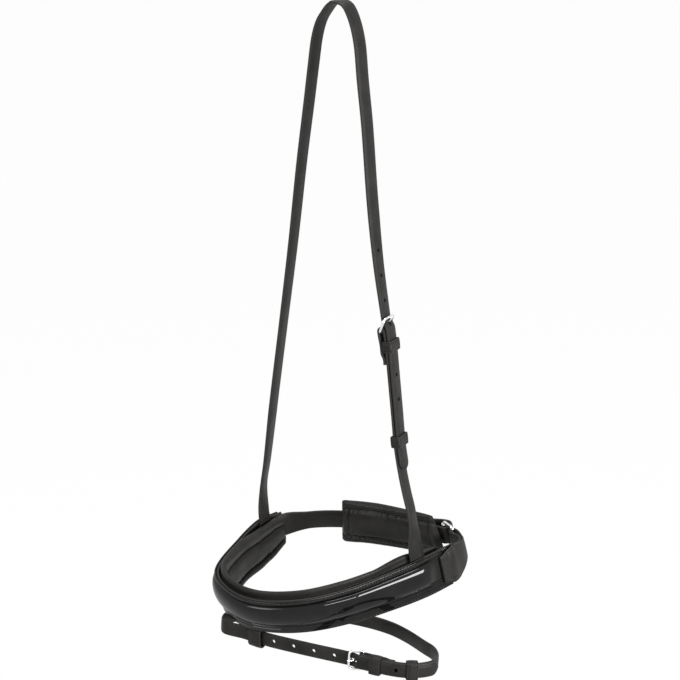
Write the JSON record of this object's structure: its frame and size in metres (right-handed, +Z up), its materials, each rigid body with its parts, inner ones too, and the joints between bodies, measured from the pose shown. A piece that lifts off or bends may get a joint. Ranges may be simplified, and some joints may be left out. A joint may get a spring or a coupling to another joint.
{
  "type": "flash bridle",
  "caption": "Padded patent noseband on a narrow buckled sliphead, with a padded chin strap doubled back through a roller ring and a flash strap hung from a loop under the nose.",
  "frame": {"origin": "middle of the flat seat under the crown of the sliphead, where it lies on the poll or on a hook", "axes": "a horse wearing it looks along -Y, so +X is its near (left) side and +Z is up"},
  "size_m": [0.2585, 0.227, 0.6209],
  "materials": {
    "strap_leather": "satin",
    "patent_leather": "gloss",
    "lining_leather": "soft matte",
    "padding": "matte",
    "swell_filler": "matte",
    "hardware": "polished"
  },
  "bodies": {
    "headstrap": {"sliphead_strap": "strap_leather", "cheek_strap": "strap_leather", "cheek_fixed_keeper": "strap_leather"},
    "cheek_frame": {"cheek_buckle_frame": "hardware"},
    "cheek_tongue": {"cheek_buckle_tongue": "hardware"},
    "cheek_runner": {"cheek_sliding_keeper": "strap_leather"},
    "noseband": {"nose_backing": "strap_leather", "nose_patent_front": "patent_leather", "nose_swell_core": "swell_filler", "nose_pad_lining": "lining_leather", "nose_pad_foam": "padding", "ring_strap": "strap_leather", "chin_strap": "strap_leather", "chin_buckle_chape": "strap_leather", "chin_fixed_keeper": "strap_leather", "chin_pad_plate": "strap_leather", "chin_pad_lining": "lining_leather", "chin_pad_foam": "padding", "flash_loop": "strap_leather"},
    "ring": {"ring_loop": "hardware"},
    "roller": {"ring_roller": "hardware"},
    "chin_frame": {"chin_buckle_frame": "hardware"},
    "chin_tongue": {"chin_buckle_tongue": "hardware"},
    "chin_runner": {"chin_sliding_keeper": "strap_leather"},
    "flash": {"flash_strap": "strap_leather", "flash_fixed_keeper": "strap_leather"},
    "flash_frame": {"flash_buckle_frame": "hardware"},
    "flash_tongue": {"flash_buckle_tongue": "hardware"},
    "flash_runner": {"flash_sliding_keeper": "strap_leather"}
  },
  "joints": [
    {"name": "noseband_tilt", "type": "hinge", "parent": "headstrap", "child": "noseband", "pos_m": [-0.00182, 0.00384, -0.54895], "axis": [0.9936, 0.1109, 0.0195], "range_deg": [-2, 6]},
    {"name": "cheek_frame_lift", "type": "hinge", "parent": "headstrap", "child": "cheek_frame", "pos_m": [0.05308, 0.00402, -0.30199], "axis": [-0.257, 0.9661, -0.0244], "range_deg": [0, 4]},
    {"name": "cheek_tongue_lift", "type": "hinge", "parent": "cheek_frame", "child": "cheek_tongue", "pos_m": [0.05308, 0.00402, -0.30199], "axis": [-0.257, 0.9661, -0.0244], "range_deg": [0, 5]},
    {"name": "cheek_runner_slide", "type": "slide", "parent": "headstrap", "child": "cheek_runner", "axis": [-0.1219, -0.0146, 0.9924], "range_m": [-0.006, 0.015]},
    {"name": "ring_swing", "type": "hinge", "parent": "noseband", "child": "ring", "pos_m": [0.07831, 0.08326, -0.53189], "axis": [-0.0163, -0.2773, 0.9606], "range_deg": [-4, 4]},
    {"name": "roller_spin", "type": "hinge", "parent": "ring", "child": "roller", "pos_m": [0.06381, 0.08812, -0.53074], "axis": [-0.0163, -0.2773, 0.9606], "continuous": true},
    {"name": "chin_frame_lift", "type": "hinge", "parent": "noseband", "child": "chin_frame", "pos_m": [0.01777, 0.0811, -0.53216], "axis": [-0.0072, -0.1963, 0.9805], "range_deg": [0, 4]},
    {"name": "chin_tongue_lift", "type": "hinge", "parent": "chin_frame", "child": "chin_tongue", "pos_m": [0.01777, 0.0811, -0.53216], "axis": [-0.0072, -0.1963, 0.9805], "range_deg": [0, 5]},
    {"name": "chin_runner_slide", "type": "slide", "parent": "noseband", "child": "chin_runner", "axis": [-0.9287, -0.3588, -0.0937], "range_m": [-0.001, 0.004]},
    {"name": "flash_swing", "type": "hinge", "parent": "noseband", "child": "flash", "pos_m": [-0.0123, -0.10658, -0.60065], "axis": [0.9885, 0.1508, -0.0132], "range_deg": [-4, 6]},
    {"name": "flash_frame_lift", "type": "hinge", "parent": "flash", "child": "flash_frame", "pos_m": [0.09453, -0.07202, -0.60367], "axis": [0, 0.0872, 0.9962], "range_deg": [0, 4]},
    {"name": "flash_tongue_lift", "type": "hinge", "parent": "flash_frame", "child": "flash_tongue", "pos_m": [0.09453, -0.07202, -0.60367], "axis": [0, 0.0872, 0.9962], "range_deg": [0, 5]},
    {"name": "flash_runner_turn", "type": "hinge", "parent": "flash", "child": "flash_runner", "pos_m": [0.11279, -0.03153, -0.60721], "axis": [0, 0.0872, 0.9962], "range_deg": [-15, 15]}
  ]
}
